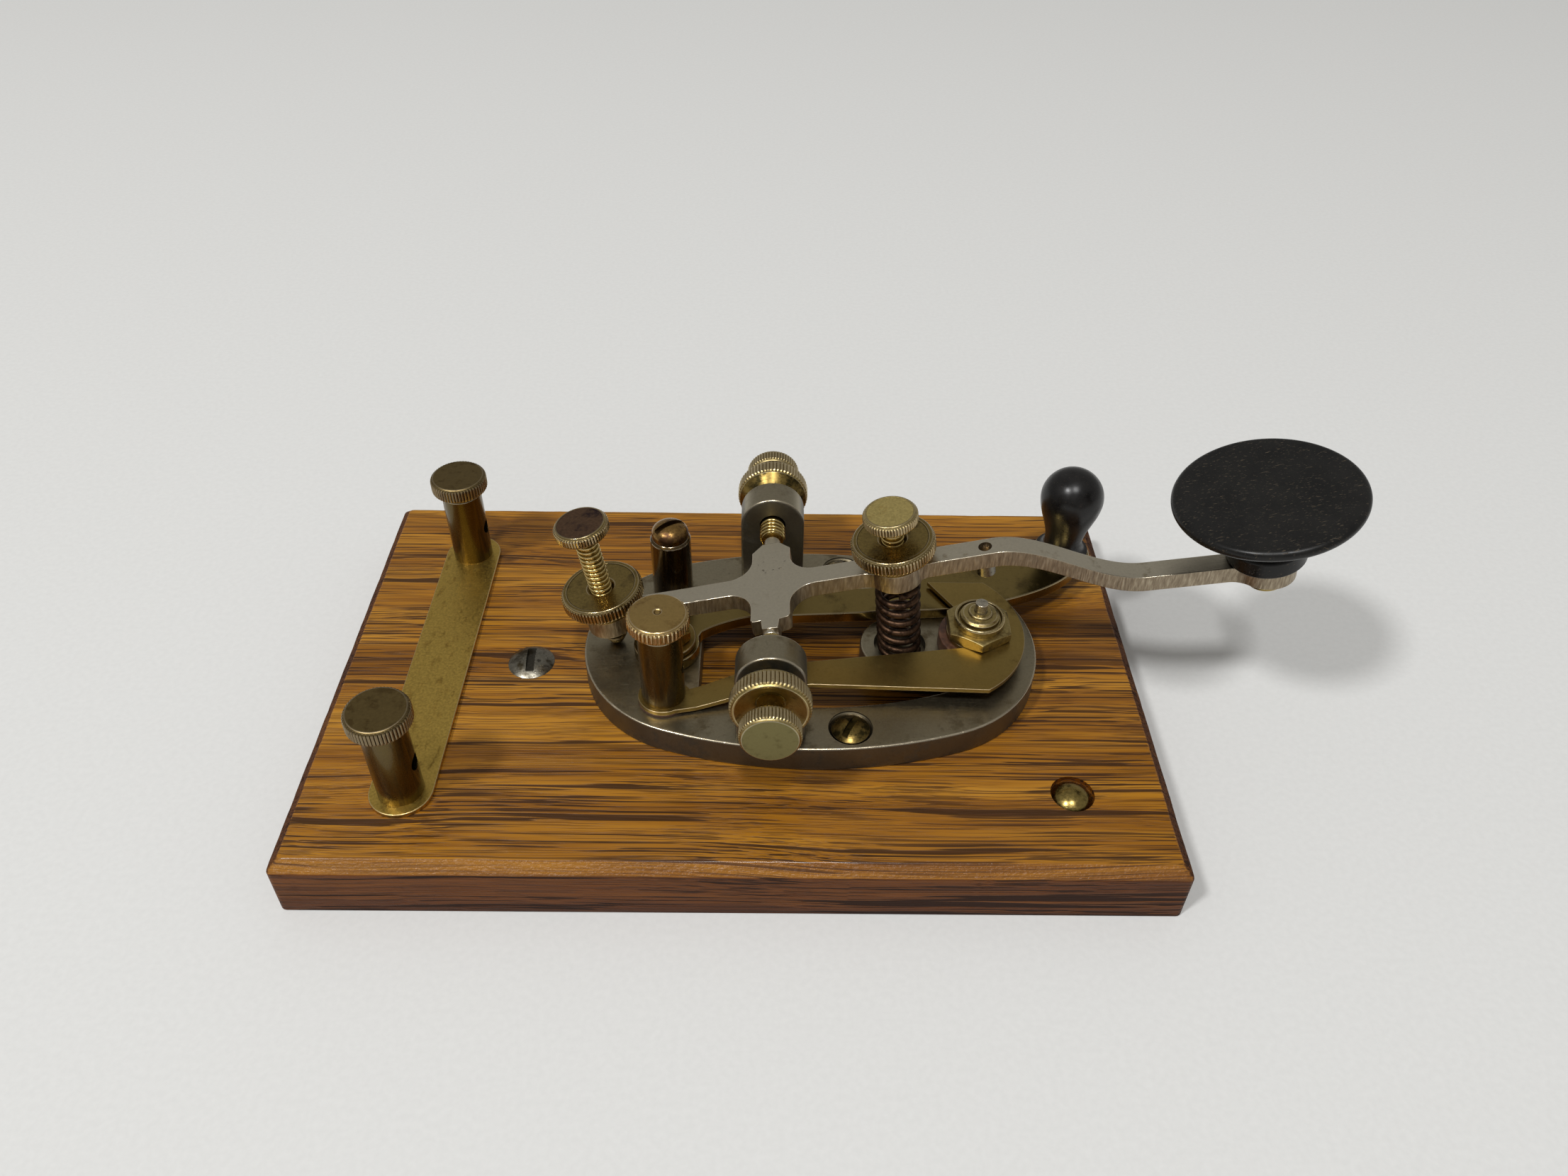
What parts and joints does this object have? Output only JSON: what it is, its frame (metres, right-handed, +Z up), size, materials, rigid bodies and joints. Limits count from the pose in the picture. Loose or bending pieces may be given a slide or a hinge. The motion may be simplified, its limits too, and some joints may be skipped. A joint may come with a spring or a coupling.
{
  "type": "straight telegraph key",
  "caption": "Straight telegraph key on a bevelled oak board: sprung lever on trunnions over an anvil contact, circuit closer, knurled adjusting screws and binding posts.",
  "frame": {"origin": "centre of the board's underside", "axes": "+X along the key towards the finger knob, +Y to the circuit closer's side, +Z up"},
  "size_m": [0.1821, 0.0962, 0.058],
  "materials": {
    "oak": "varnished oak",
    "nickel": "worn satin nickel plate over brass",
    "steel": "worn steel",
    "contact_silver": "bare contact metal",
    "bright_brass": "bright worn brass",
    "old_brass": "aged olive brass",
    "dark_brass": "brown lacquered brass",
    "fibre": "red-brown vulcanised fibre",
    "black_rubber": "polished black hard rubber",
    "spring_steel": "browned spring wire"
  },
  "bodies": {
    "base": {"wood_base": "oak", "key_frame": "nickel", "board_screw_steel": "steel", "board_screw_brass": "bright_brass", "terminal_strap": "bright_brass", "frame_screws": "bright_brass", "line_post_screws": "bright_brass", "frame_post_screws": "bright_brass", "anvil_stud": "bright_brass", "anvil_nut": "bright_brass", "anvil_lower_nut": "bright_brass", "post_cap_screw": "old_brass", "anvil_strap": "old_brass", "closer_bolt": "old_brass", "closer_nut": "old_brass", "line_post_near": "dark_brass", "line_post_far": "dark_brass", "frame_post_near": "dark_brass", "frame_post_far": "dark_brass", "closer_washer": "dark_brass", "strap_bush": "fibre", "anvil_insulator": "fibre", "anvil_lower_washer": "fibre", "return_spring": "spring_steel"},
    "lever": {"lever": "nickel", "lever_contact": "contact_silver", "main_knob": "black_rubber", "knob_screw": "bright_brass", "spring_cap": "old_brass"},
    "closer": {"closer_blade": "old_brass", "closer_knob": "black_rubber", "closer_knob_screw": "bright_brass"},
    "gap_screw_body": {"gap_screw": "bright_brass"},
    "gap_nut_body": {"gap_nut": "old_brass"},
    "spring_screw_body": {"spring_screw": "bright_brass"},
    "spring_nut_body": {"spring_nut": "old_brass"},
    "trunnion_screw_near_body": {"trunnion_screw_near": "bright_brass"},
    "trunnion_screw_far_body": {"trunnion_screw_far": "bright_brass"},
    "trunnion_nut_near_body": {"trunnion_nut_near": "old_brass"},
    "trunnion_nut_far_body": {"trunnion_nut_far": "old_brass"},
    "line_thumbscrew_near_body": {"line_thumbscrew_near": "dark_brass"},
    "line_thumbscrew_far_body": {"line_thumbscrew_far": "dark_brass"},
    "frame_thumbscrew_body": {"frame_thumbscrew": "old_brass"}
  },
  "joints": [
    {"name": "lever_rock", "type": "hinge", "parent": "base", "child": "lever", "pos_m": [0.0061, -0.0005, 0.0314], "axis": [0, 1, 0], "range_deg": [0, 10.95], "stiffness_Nm_per_rad": 0.3, "springref_deg": -17.19, "deforming": ["return_spring"]},
    {"name": "closer_swing", "type": "hinge", "parent": "base", "child": "closer", "pos_m": [-0.0134, -0.003, 0.019], "axis": [0, 0, 1], "range_deg": [0, 7.5]},
    {"name": "gap_screw_turn", "type": "hinge", "parent": "lever", "child": "gap_screw_body", "pos_m": [-0.02422, -0.0005, 0.0266], "axis": [-0.1564, 0, 0.9877], "continuous": true},
    {"name": "gap_nut_turn", "type": "hinge", "parent": "lever", "child": "gap_nut_body", "pos_m": [-0.02422, -0.0005, 0.0266], "axis": [-0.1564, 0, 0.9877], "continuous": true},
    {"name": "spring_screw_turn", "type": "hinge", "parent": "lever", "child": "spring_screw_body", "pos_m": [0.02852, -0.0005, 0.03495], "axis": [-0.1564, 0, 0.9877], "continuous": true},
    {"name": "spring_nut_turn", "type": "hinge", "parent": "lever", "child": "spring_nut_body", "pos_m": [0.02852, -0.0005, 0.03495], "axis": [-0.1564, 0, 0.9877], "continuous": true},
    {"name": "trunnion_screw_near_turn", "type": "hinge", "parent": "base", "child": "trunnion_screw_near_body", "pos_m": [0.0061, -0.0005, 0.0314], "axis": [0, -1, 0], "continuous": true},
    {"name": "trunnion_nut_near_turn", "type": "hinge", "parent": "base", "child": "trunnion_nut_near_body", "pos_m": [0.0061, -0.0005, 0.0314], "axis": [0, -1, 0], "continuous": true},
    {"name": "trunnion_screw_far_turn", "type": "hinge", "parent": "base", "child": "trunnion_screw_far_body", "pos_m": [0.0061, -0.0005, 0.0314], "axis": [0, 1, 0], "continuous": true},
    {"name": "trunnion_nut_far_turn", "type": "hinge", "parent": "base", "child": "trunnion_nut_far_body", "pos_m": [0.0061, -0.0005, 0.0314], "axis": [0, 1, 0], "continuous": true},
    {"name": "line_thumbscrew_near_turn", "type": "hinge", "parent": "base", "child": "line_thumbscrew_near_body", "pos_m": [-0.057, -0.0326, 0.0325], "axis": [0, 0, 1], "continuous": true},
    {"name": "line_thumbscrew_far_turn", "type": "hinge", "parent": "base", "child": "line_thumbscrew_far_body", "pos_m": [-0.057, 0.0305, 0.0325], "axis": [0, 0, 1], "continuous": true},
    {"name": "frame_thumbscrew_turn", "type": "hinge", "parent": "base", "child": "frame_thumbscrew_body", "pos_m": [-0.0131, -0.0153, 0.037], "axis": [0, 0, 1], "continuous": true}
  ]
}
